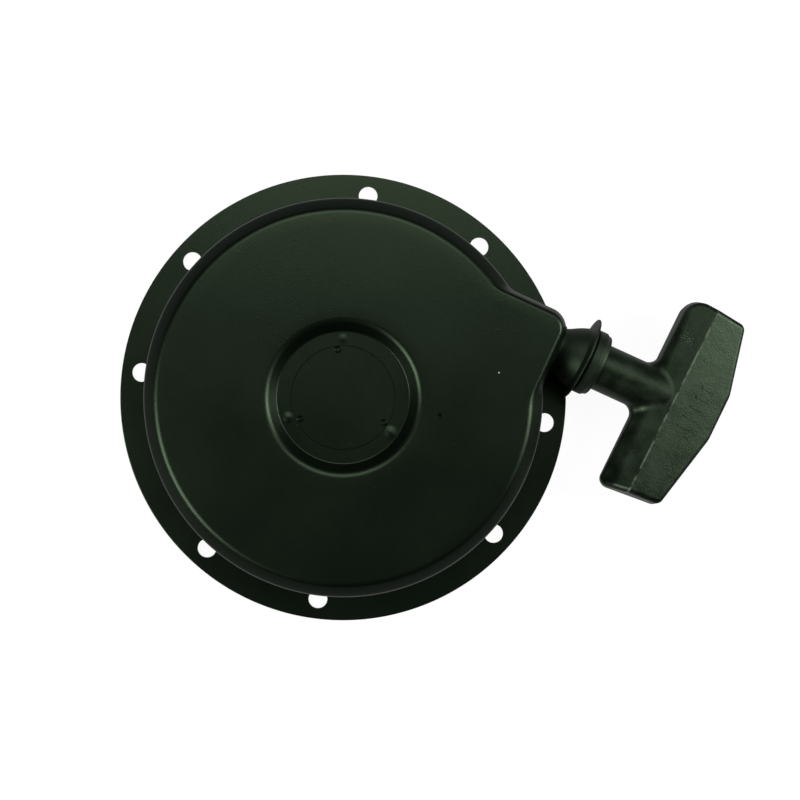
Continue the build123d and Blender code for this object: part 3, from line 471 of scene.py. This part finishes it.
def worn_plastic():
    material, tree, shader = new_material("grip_plastic")
    set_shader(shader, (0.004, 0.0065, 0.004), 0.40, tint=TINT)
    patches = noise(tree, 95, 6, 0.62)
    colour = ramp(tree, patches, 0.42, 0.72, (0.0022, 0.0036, 0.0022), (0.0125, 0.0175, 0.0120))
    ridge = near_line(tree, RIDGE_LOW_END, RIDGE_HIGH_END, 0.00055)
    broken = ramp(tree, noise(tree, 220, 3), 0.38, 0.52, 0.0, 1.0)
    scratches = ramp(tree, noise(tree, 1500, 2), 0.55, 0.60, 0.0, 1.0)
    scuffs = math_node(tree, "MULTIPLY", near_point(tree, SCUFFS, 0.0042), scratches)
    wear = math_node(tree, "MAXIMUM", math_node(tree, "MULTIPLY", ridge, broken), scuffs)
    worn = blend_colours(tree, wear, colour, (0.13, 0.16, 0.12))
    tree.links.new(worn, shader.inputs["Base Color"])
    tree.links.new(ramp(tree, patches, 0.3, 0.7, 0.30, 0.46), shader.inputs["Roughness"])
    axes = part_axes(tree)
    from_middle = math_node(tree, "ABSOLUTE", math_node(tree, "SUBTRACT", axes[2], ROPE_Z))
    mould_line = ramp(tree, from_middle, 0.0001, 0.0003, 1.0, 0.0)
    skin = bump(tree, shader, noise(tree, 1300, 3), 0.6, 0.00010)
    waves = bump(tree, shader, noise(tree, 160, 2), 0.28, 0.0004, below=skin)
    bump(tree, shader, mould_line, 0.8, 0.0002, below=waves)
    return material


finish_node("handle_grip", worn_plastic())
ridge_run = Vector(RIDGE_HIGH_END) - Vector(RIDGE_LOW_END)
print(f"worn ridge {ridge_run.length:.4f} m long")

# %% [markdown]
# The real pan is one sheet, pressed in stages. Here one closed outline of the sheet, both
# skins of it, is drawn in the XZ plane and spun round the Z axis. A spin gives even rings,
# so the soft light runs round the shoulder with no facets. Each point of the outline keeps
# two insets, which say how far inside the pan's plan it lies on the round wall and on the
# nose. They are needed in the next cell, which presses the nose out.

# %% The outline of the sheet
def arc(centre_r, centre_z, radius, start, end, count):
    """Points of an arc in the outline; angles in degrees from outward (+r) towards +Z."""
    points = []
    for step in range(count + 1):
        turn = radians(start + (end - start) * step / count)
        points.append((centre_r + radius * cos(turn), centre_z + radius * sin(turn)))
    return points


def line(start, end, count):
    """Points of a straight run, without its first point."""
    return [
        tuple(a + (b - a) * step / count for a, b in zip(start, end))
        for step in range(1, count + 1)
    ]


def recess_side(skin):
    """The recess from its floor to the flat top, at a depth of skin in the sheet."""
    slant = atan2(RECESS_MOUTH - RECESS_FLOOR, RECESS_DEPTH)
    shift = skin * (1 / cos(slant) - tan(slant))
    floor_z = PAN_HEIGHT - RECESS_DEPTH - skin
    top_z = PAN_HEIGHT - skin
    foot = RECESS_FLOOR + shift
    mouth = foot + (top_z - floor_z) * tan(slant)
    foot_round = RECESS_FOOT_ROUND + skin
    lip_round = RECESS_LIP_ROUND - skin
    half = (pi / 2 - slant) / 2
    foot_back = foot_round * tan(half)
    lip_back = lip_round * tan(half)
    floor_end = (foot - foot_back, floor_z)
    lip_end = (mouth + lip_back, top_z)
    sweep = 90 - slant * 180 / pi
    foot_arc = arc(floor_end[0], floor_z + foot_round, foot_round, -90, -90 + sweep, 5)
    lip_arc = arc(lip_end[0], top_z - lip_round, lip_round, 90 + sweep, 90, 7)
    return foot_arc, lip_arc


def shoulder_form(bend=0.5, steps=7):
    """The shoulder as (inset, drop) shares of its size: a bend, a 45 degree slope, a bend."""
    turns = [radians(45 * step / steps) for step in range(steps + 1)]
    upper = [(1 - bend * sin(turn), bend * (1 - cos(turn))) for turn in turns]
    lower = [(drop, inset) for inset, drop in reversed(upper)]
    return upper + lower


SHOULDER_FORM = shoulder_form()


def shoulder_inset(drop):
    """How far in the shoulder lies at a drop below the top, both as shares of its size."""
    if drop >= 1:
        return 0
    for (inset, here), (next_inset, there) in zip(SHOULDER_FORM, SHOULDER_FORM[1:]):
        if here <= drop <= there:
            return inset + (next_inset - inset) * (drop - here) / (there - here)
    return 0


def skin_points(skin, floor_rings):
    """One skin of the sheet, from the hub's hole out to the foot of the wall, with insets."""
    foot_arc, lip_arc = recess_side(skin)
    top_z = PAN_HEIGHT - skin
    points = [(HUB_HOLE, foot_arc[0][1])]
    points += line(points[0], foot_arc[0], floor_rings)
    points += foot_arc[1:] + lip_arc
    points += line(lip_arc[-1], (PAN_RADIUS - PAN_SHOULDER, top_z), 9)
    flat = [(r, z, None, None) for r, z in points]
    shoulder = []
    round_radius = PAN_SHOULDER - skin
    nose_radius = NOSE_SHOULDER - skin
    for inset, drop in SHOULDER_FORM:
        z = top_z - round_radius * drop
        round_inset = skin + round_radius * inset
        nose_inset = skin + nose_radius * shoulder_inset(round_radius * drop / nose_radius)
        shoulder.append((PAN_RADIUS - round_inset, z, round_inset, nose_inset))
    wall_top = shoulder[-1][1]
    wall_foot = SHEET + FLANGE_ROOT
    wall = [
        (PAN_RADIUS - skin, wall_top + (wall_foot - wall_top) * step / 4, skin, skin)
        for step in range(1, 5)
    ]
    return flat[:-1] + shoulder + wall


def on_wall(points):
    """Outline points with the insets that keep them at one distance from the pan's plan."""
    return [(r, z, PAN_RADIUS - r, PAN_RADIUS - r) for r, z in points]


def sheet_outline():
    """The closed outline: outer skin, foot, flange and rim, then back along the inner skin.

    A ring of points close to each end of the flange keeps its shading flat.
    """
    close_by = 0.0003
    foot_end = PAN_RADIUS + FLANGE_ROOT
    foot = arc(foot_end, SHEET + FLANGE_ROOT, FLANGE_ROOT, 180, 270, 4)[1:]
    foot.append((foot_end + close_by, SHEET))
    rim_start = FLANGE_RADIUS - FLANGE_EDGE
    rim = [(rim_start - 0.00005, SHEET), (rim_start, SHEET)]
    rim += arc(rim_start, SHEET - FLANGE_EDGE, FLANGE_EDGE, 90, 0, 3)[1:]
    rim += arc(rim_start, FLANGE_EDGE, FLANGE_EDGE, 0, -90, 3)
    rim.append((rim_start - 0.00005, 0))
    bend = FLANGE_ROOT + SHEET
    under_end = PAN_RADIUS - SHEET + bend
    under = [(under_end + close_by, 0)]
    under += arc(under_end, bend, bend, 270, 180, 5)[:-1]
    inner = skin_points(SHEET, 3)
    inner.reverse()
    flange = [(r, z, None, None) for r, z in rim]
    return skin_points(0, 14) + on_wall(foot) + flange + on_wall(under) + inner


outline = sheet_outline()
print("outline points:", len(outline))

# %% [markdown]
# The nose is a corner of a square that sticks out of the round pan, with rounded bends
# where the two meet. For any direction from the middle, the function below gives the
# distance to that plan. It takes the circle, the two straight sides, the outer corner and
# the two hollow bends in turn. The insets move each of them inwards, so one function
# serves the wall, the shoulder and both skins.

# %% Distance to the pan's plan
def ray_circle(angle, centre, radius, far):
    """Distance along a ray from the middle to a circle; None where it misses."""
    along = centre[0] * cos(angle) + centre[1] * sin(angle)
    across = centre[0] ** 2 + centre[1] ** 2 - along ** 2
    if across > radius ** 2:
        return None
    half = sqrt(radius ** 2 - across)
    return along + half if far else along - half


def plan_radius(angle, round_inset, nose_inset):
    """Distance from the middle to the pan's plan in one direction, for a pair of insets."""
    radius = PAN_RADIUS - round_inset
    side = NOSE_SIDE - nose_inset
    face = NOSE_FACE - nose_inset
    corner = NOSE_CORNER - nose_inset
    mean = (round_inset + nose_inset) / 2
    side_blend = NOSE_SIDE_BLEND + mean
    face_blend = NOSE_FACE_BLEND + mean
    side_y = side + side_blend
    face_x = face + face_blend
    side_centre = (sqrt((radius + side_blend) ** 2 - side_y ** 2), side_y)
    face_centre = (face_x, sqrt((radius + face_blend) ** 2 - face_x ** 2))
    start = atan2(face_centre[1], face_centre[0])
    end = atan2(side_centre[1], side_centre[0])
    if angle < start or angle > end:
        return radius
    if angle < atan2(face_centre[1], face):
        return ray_circle(angle, face_centre, face_blend, False)
    if angle < atan2(side - corner, face):
        return face / cos(angle)
    if angle < atan2(side, face - corner):
        return ray_circle(angle, (face - corner, side - corner), corner, True)
    if angle < atan2(side, side_centre[0]):
        return side / sin(angle)
    return ray_circle(angle, side_centre, side_blend, False)


print(f"nose corner reaches {plan_radius(radians(43.5), 0, 0):.4f}")

# %% [markdown]
# The outline is spun in steps, then each ring point slides along its own direction to the
# plan. Points on the flat top slide by a share that grows towards the edge, and so do the
# flange's. The steps are crowded into the nose's sector, where the plan bends tightest. The
# three soft bumps beside the hub come from the same pass, as they are only raised sheet.

# %% Spin the pan and press its nose
STEPS = 720
NOSE_SECTOR = (radians(22), radians(63))
NOSE_STEPS = 300            # how many of the steps lie in that sector
SLIDE_START = 0.058         # the flat top slides from this radius outwards
BUMPS = ((114.6, 0.0026, 0.00020), (224.6, 0.0030, 0.00045), (348.1, 0.0036, 0.00055))
BUMP_CIRCLE = 0.0264        # each bump has its direction in degrees, its radius and its rise


def crowded(step):
    """The direction of one spin step, with small steps across the nose."""
    low, high = NOSE_SECTOR
    if step < NOSE_STEPS:
        return low + (high - low) * step / NOSE_STEPS
    return high + (2 * pi - (high - low)) * (step - NOSE_STEPS) / (STEPS - NOSE_STEPS)


def bump_height(x, y):
    """How far the sheet is raised beside the hub."""
    height = 0
    for angle, reach, rise in BUMPS:
        centre = (BUMP_CIRCLE * cos(radians(angle)), BUMP_CIRCLE * sin(radians(angle)))
        away = hypot(x - centre[0], y - centre[1]) / reach
        if away < 1:
            height += rise * (cos(pi * away) + 1) / 2
    return height


def pressed(r, z, round_inset, nose_inset, angle):
    """Where one outline point ends up in one direction."""
    plan_angle = (angle + pi) % (2 * pi) - pi
    if round_inset is not None:
        inside_rim = FLANGE_RADIUS - FLANGE_EDGE - 0.0001
        return min(plan_radius(plan_angle, round_inset, nose_inset), inside_rim)
    if z < PAN_HEIGHT / 2:
        return r
    edge = PAN_RADIUS - PAN_SHOULDER
    share = min(max((r - SLIDE_START) / (edge - SLIDE_START), 0), 1)
    reach = plan_radius(plan_angle, PAN_SHOULDER, NOSE_SHOULDER)
    return r + (reach - edge) * share * share * (3 - 2 * share)


def spin_pan():
    bm = bmesh.new()
    keys = bm.verts.layers.int.new("outline")
    ring = [bm.verts.new((r, 0, z)) for r, z, _, _ in outline]
    for number, vert in enumerate(ring):
        vert[keys] = number
        bm.edges.new((vert, ring[(number + 1) % len(ring)]))
    bmesh.ops.spin(
        bm, geom=bm.verts[:] + bm.edges[:], cent=(0, 0, 0), axis=(0, 0, 1), dvec=(0, 0, 0),
        angle=2 * pi, steps=STEPS, use_merge=True, use_duplicate=False,
    )
    for vert in bm.verts:
        r, z, round_inset, nose_inset = outline[vert[keys]]
        step = round(atan2(vert.co.y, vert.co.x) / (2 * pi) * STEPS) % STEPS
        angle = crowded(step)
        reach = pressed(r, z, round_inset, nose_inset, angle)
        vert.co.x = reach * cos(angle)
        vert.co.y = reach * sin(angle)
        if z > PAN_HEIGHT / 2 and r < RECESS_MOUTH:
            vert.co.z += bump_height(vert.co.x, vert.co.y)
    bmesh.ops.recalc_face_normals(bm, faces=bm.faces[:])
    return bm


pan_bm = spin_pan()
print(f"pan: {len(pan_bm.verts)} points, {pan_bm.calc_volume(signed=True) * 1e6:.1f} cm3 of steel")

# %% [markdown]
# The flange's eight holes and the rope's hole are punched, not pressed. A Boolean cuts
# them cleanly from the finished sheet. The cutters are cylinders made in one bmesh. The
# cut is applied at once, so the piece leaves no live modifier behind.

# %% Punch the holes
HOLE_CIRCLE = 0.0975
HOLE_RADIUS = 0.0045
HOLE_SPREAD = 17.5          # degrees from each axis to the two holes beside it
ROPE_HOLE = 0.0048
CUTTER_LENGTH = 0.010
ALONG_X = Matrix.Rotation(pi / 2, 4, "Y")


def cylinder(bm, radius, length, matrix, segments=64):
    """A closed cylinder whose middle and direction come from the matrix."""
    bmesh.ops.create_cone(
        bm, cap_ends=True, segments=segments, radius1=radius, radius2=radius,
        depth=length, matrix=matrix,
    )


def finished_mesh(bm, name):
    """Turns a bmesh into a mesh and frees it."""
    mesh = bpy.data.meshes.new(name)
    bm.to_mesh(mesh)
    bm.free()
    return mesh


def new_piece(mesh, name, body, material, slot, *stands_for):
    """Puts a finished mesh in the scene as a piece that rides on a body."""
    piece = bpy.data.objects.new(name, mesh)
    bpy.context.scene.collection.objects.link(piece)
    mesh.materials.clear()
    mesh.materials.append(material)
    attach(piece, body)
    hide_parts(*stands_for)


def shade(mesh, sharp_degrees=32):
    """Smooth shading, with a hard edge wherever two faces meet more sharply than this."""
    bm = bmesh.new()
    bm.from_mesh(mesh)
    for face in bm.faces:
        face.smooth = True
    for edge in bm.edges:
        shallow = edge.calc_face_angle(0) < radians(sharp_degrees)
        edge.smooth = shallow and len(edge.link_faces) == 2
    bm.to_mesh(mesh)
    bm.free()


def punch(mesh, cutter_bm):
    """Cuts the cutter's solids out of the mesh and returns the new mesh."""
    blank = bpy.data.objects.new("blank", mesh)
    cutter = bpy.data.objects.new("cutter", finished_mesh(cutter_bm, "cutter"))
    for thing in (blank, cutter):
        bpy.context.scene.collection.objects.link(thing)
    cut = blank.modifiers.new("punch", "BOOLEAN")
    cut.operation = "DIFFERENCE"
    cut.solver = "EXACT"
    cut.object = cutter
    graph = bpy.context.evaluated_depsgraph_get()
    result = bpy.data.meshes.new_from_object(blank.evaluated_get(graph), depsgraph=graph)
    for thing in (blank, cutter):
        old = thing.data
        bpy.data.objects.remove(thing)
        bpy.data.meshes.remove(old)
    return result


holes = bmesh.new()
for quarter in range(4):
    for side in (-1, 1):
        turn = radians(90 * quarter + side * HOLE_SPREAD)
        place = Matrix.Translation((HOLE_CIRCLE * cos(turn), HOLE_CIRCLE * sin(turn), 0))
        cylinder(holes, HOLE_RADIUS, CUTTER_LENGTH, place)
outlet = Matrix.Translation((NOSE_FACE, ROPE_Y, ROPE_Z)) @ ALONG_X
cylinder(holes, ROPE_HOLE, CUTTER_LENGTH, outlet)
pan_mesh = punch(finished_mesh(pan_bm, "pan_blank"), holes)
pan_mesh.name = "pressed_pan"
shade(pan_mesh)
new_piece(pan_mesh, "pressed_pan", "housing", PAINT, "pan_paint", "housing_pan")
print("pressed pan:", len(pan_mesh.polygons), "faces")

# %% [markdown]
# Soft rubber has no sharp corners. An outline for it is given as corners, each with a
# rounding, and this helper turns every corner into a short soft bend. The second helper
# spins such an outline about the rope's line, as the boot's mould was turned on a lathe.

# %% Rounded outlines
def softened(corners, steps=6):
    """Turns (x, r, rounding) corners of a closed outline into points with soft bends."""
    points = []
    for number, (x, r, rounding) in enumerate(corners):
        here = Vector((x, r))
        if rounding == 0:
            points.append(here)
            continue
        before = Vector(corners[number - 1][:2]) - here
        after = Vector(corners[(number + 1) % len(corners)][:2]) - here
        reach = min(rounding, before.length * 0.46, after.length * 0.46)
        start = here + before.normalized() * reach
        end = here + after.normalized() * reach
        for step in range(steps + 1):
            t = step / steps
            points.append(start * (1 - t) ** 2 + here * 2 * t * (1 - t) + end * t * t)
    return points


def spin_about_rope(points, steps=180):
    """Spins a closed (x, r) outline about the rope's line into a closed shell."""
    bm = bmesh.new()
    ring = [bm.verts.new((x, ROPE_Y + r, ROPE_Z)) for x, r in points]
    for number, vert in enumerate(ring):
        bm.edges.new((vert, ring[(number + 1) % len(ring)]))
    bmesh.ops.spin(
        bm, geom=bm.verts[:] + bm.edges[:], cent=(0, ROPE_Y, ROPE_Z), axis=(1, 0, 0),
        dvec=(0, 0, 0), angle=2 * pi, steps=steps, use_merge=True, use_duplicate=False,
    )
    bmesh.ops.recalc_face_normals(bm, faces=bm.faces[:])
    return bm


triangle = softened([(0, 0, 0.1), (1, 0, 0), (1, 1, 0)])
print("one soft bend has", len(triangle) - 2, "points")

# %% [markdown]
# The boot is moulded in one piece: a lip clamped under the nose's ring, a dome, a thin brim
# that flicks mud away, and a collar round the handle's stem. The corners below are the
# boot's own drawing in millimetres: how far from the nose, how far from the rope's line,
# and the rounding. They go along the outside first and come back along the bore.

# %% Rope boot
BOOT_LENGTH = (boot_high.x - boot_low.x) * 1000
BRIM = 19.7
COLLAR = 15.4
BORE = 11.4
BOOT_CORNERS = [
    (0, 4.75, 0),
    (0, 10.6, 0.5),
    (1.5, 10.6, 0.5),
    (1.8, 9.6, 0.4),
    (3.2, 10.1, 1.2),
    (8.2, 12.9, 5.0),
    (12.9, 14.6, 0.6),
    (13.6, BRIM, 0.4),
    (14.4, BRIM, 0.4),
    (14.7, 16.2, 1.2),
    (15.0, 14.2, 0.6),
    (15.8, 14.4, 0.4),
    (16.1, COLLAR, 0.5),
    (20.2, COLLAR, 0.8),
    (20.9, COLLAR - 0.7, 0.4),
    (BOOT_LENGTH, COLLAR - 1.1, 1.0),
    (BOOT_LENGTH, BORE, 0.5),
    (9.9, BORE, 1.0),
    (1.9, 7.4, 0),
    (1.9, 4.75, 0),
]
boot_corners = [
    (boot_low.x + along / 1000, reach / 1000, rounding / 1000)
    for along, reach, rounding in BOOT_CORNERS
]
boot_mesh = finished_mesh(spin_about_rope(softened(boot_corners)), "soft_boot")
shade(boot_mesh, 45)
new_piece(boot_mesh, "soft_boot", "housing", RUBBER, "boot_rubber", "rope_boot")
print(f"boot: {BOOT_LENGTH:.1f} mm long, brim radius {BRIM} mm, {len(boot_mesh.polygons)} faces")

# %% [markdown]
# Starter rope is a tight braid: two sets of strands that wind opposite ways and cross over
# and under each other. The strands are too fine to model one by one over a metre, so the
# rope is a smooth round bar and its braid is a bump, with painted shade in the colour where
# the strands dip. The pattern is worked out from the turn round the rope's line and the
# place along it, so it keeps its pitch as the rope is drawn out.

# %% Braided rope finish
run_low, run_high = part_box("rope_run")
ROPE_RADIUS = (run_high.z - run_low.z) / 2
BRAID_PITCH = 0.0042
BRAID_STRANDS = 4
COIL_MIDDLE = 0.0561        # mean radius of the rope on the reel


def braid(tree, along, turn, pitch, strands):
    """Height of a braid from the place along a rope and the turn about it, in radians."""
    run = math_node(tree, "MULTIPLY", along, 2 * pi / pitch)
    wind = math_node(tree, "MULTIPLY", turn, strands)
    one = math_node(tree, "SINE", math_node(tree, "ADD", run, wind))
    two = math_node(tree, "SINE", math_node(tree, "SUBTRACT", run, wind))
    one_high = math_node(tree, "ABSOLUTE", one)
    two_high = math_node(tree, "ABSOLUTE", two)
    return math_node(tree, "MAXIMUM", one_high, two_high)


def rope_finish(name, along, turn):
    """Braided rope with painted shade in the braid's hollows; along and turn are functions of the
    node tree.
    """
    material, tree, shader = new_material(name)
    set_shader(shader, (0.035, 0.034, 0.031), 0.72)
    height = braid(tree, along(tree), turn(tree), BRAID_PITCH, BRAID_STRANDS)
    # The base colour follows the braid's height: painted shade, darker in the hollows between the
    # strands and paler on their crests.
    braid_groove_shade = ramp(tree, height, 0.35, 1.0, (0.012, 0.012, 0.011), (0.075, 0.073, 0.066))
    tree.links.new(braid_groove_shade, shader.inputs["Base Color"])
    shader.inputs["Sheen Weight"].default_value = 0.25
    weave = bump(tree, shader, height, 0.9, 0.0004)
    bump(tree, shader, noise(tree, 5000, 2), 0.4, 0.00008, below=weave)
    return material


def along_rope(tree):
    return part_axes(tree)[0]


def turn_about_rope(tree):
    axes = part_axes(tree)
    side = math_node(tree, "SUBTRACT", axes[1], ROPE_Y)
    rise = math_node(tree, "SUBTRACT", axes[2], ROPE_Z)
    return math_node(tree, "ARCTAN2", rise, side)


def along_coil(tree):
    """On the reel, the place along the rope is the way round the reel."""
    axes = part_axes(tree)
    return math_node(tree, "MULTIPLY", math_node(tree, "ARCTAN2", axes[1], axes[0]), COIL_MIDDLE)


def turn_in_coil(tree):
    """On the reel, the turn about the rope grows with the radius and with the height."""
    axes = part_axes(tree)
    x_square = math_node(tree, "POWER", axes[0], 2)
    y_square = math_node(tree, "POWER", axes[1], 2)
    reach = math_node(tree, "SQRT", math_node(tree, "ADD", x_square, y_square))
    both = math_node(tree, "ADD", reach, axes[2])
    return math_node(tree, "MULTIPLY", both, 1 / ROPE_RADIUS)


ROPE = rope_finish("braided_rope", along_rope, turn_about_rope)
COILED_ROPE = rope_finish("braided_rope_coiled", along_coil, turn_in_coil)
for node_name in ("rope_coil", "rope_knot_reel"):
    finish_node(node_name, COILED_ROPE)
print(f"rope {ROPE_RADIUS * 2000:.1f} mm thick, one braid every {BRAID_PITCH * 1000} mm")

# %% [markdown]
# One rope piece stands for the straight run and for the tail inside the handle. It is a
# cylinder along the rope's line whose long edges are cut into many rings. It crosses the
# joint between housing and handle.

# %% Rope from the reel to the handle
RINGS = 150
tail_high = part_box("rope_tail")[1]


def rope_bar():
    """A round bar from the reel to the handle's knot, cut into rings."""
    bm = bmesh.new()
    length = tail_high.x - run_low.x
    middle_x = (tail_high.x + run_low.x) / 2
    place = Matrix.Translation((middle_x, ROPE_Y, ROPE_Z)) @ ALONG_X
    cylinder(bm, ROPE_RADIUS, length, place, segments=36)
    long_edges = [edge for edge in bm.edges if edge.calc_length() > length / 2]
    bmesh.ops.subdivide_edges(bm, edges=long_edges, cuts=RINGS - 1, use_grid_fill=True)
    bmesh.ops.recalc_face_normals(bm, faces=bm.faces[:])
    return bm


rope_mesh = finished_mesh(rope_bar(), "starter_rope")
rope_mesh.materials.append(ROPE)
shade(rope_mesh, 50)
rope = bpy.data.objects.new("starter_rope", rope_mesh)
bpy.context.scene.collection.objects.link(rope)
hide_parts("rope_run", "rope_tail")
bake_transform(rope)
print("rope from", round(run_low.x, 4), "to", round(tail_high.x, 4))

# %% [markdown]
# The stopper knot sits in the well of the handle, against a washer, and it can be seen
# from the handle's outer side. A knot is a rope that passes through its own loop. A closed
# trefoil line has just that shape, so a trefoil curve with a round bevel gives a knot that
# reads as one, and it is turned into a mesh at once.

# %% Knot in the handle
STRAND_SHARE = 0.36         # of half the knot's width
knot_low, knot_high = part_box("rope_knot_handle")


def trefoil_knot():
    """A closed trefoil of round strand that fills the knot's box."""
    size = (knot_high.y - knot_low.y) / 2
    strand = size * STRAND_SHARE
    reach = (size - strand) / 3
    data = bpy.data.curves.new("knot_line", "CURVE")
    data.dimensions = "3D"
    spline = data.splines.new("POLY")
    count = 72
    spline.points.add(count - 1)
    centre = (knot_low + knot_high) / 2
    for number in range(count):
        t = 2 * pi * number / count
        spline.points[number].co = (
            centre.x + reach * 1.1 * sin(3 * t),
            centre.y + reach * (sin(t) + 2 * sin(2 * t)),
            centre.z + reach * (cos(t) - 2 * cos(2 * t)),
            1,
        )
    spline.use_cyclic_u = True
    data.bevel_depth = strand
    data.bevel_resolution = 5
    holder = bpy.data.objects.new("knot_line", data)
    bpy.context.scene.collection.objects.link(holder)
    graph = bpy.context.evaluated_depsgraph_get()
    mesh = bpy.data.meshes.new_from_object(holder.evaluated_get(graph), depsgraph=graph)
    bpy.data.objects.remove(holder)
    bpy.data.curves.remove(data)
    return mesh


knot_mesh = trefoil_knot()
knot_mesh.name = "stopper_knot"
shade(knot_mesh, 60)
new_piece(knot_mesh, "stopper_knot", "handle", ROPE, "starter_rope", "rope_knot_handle")
print("knot faces", len(knot_mesh.polygons))
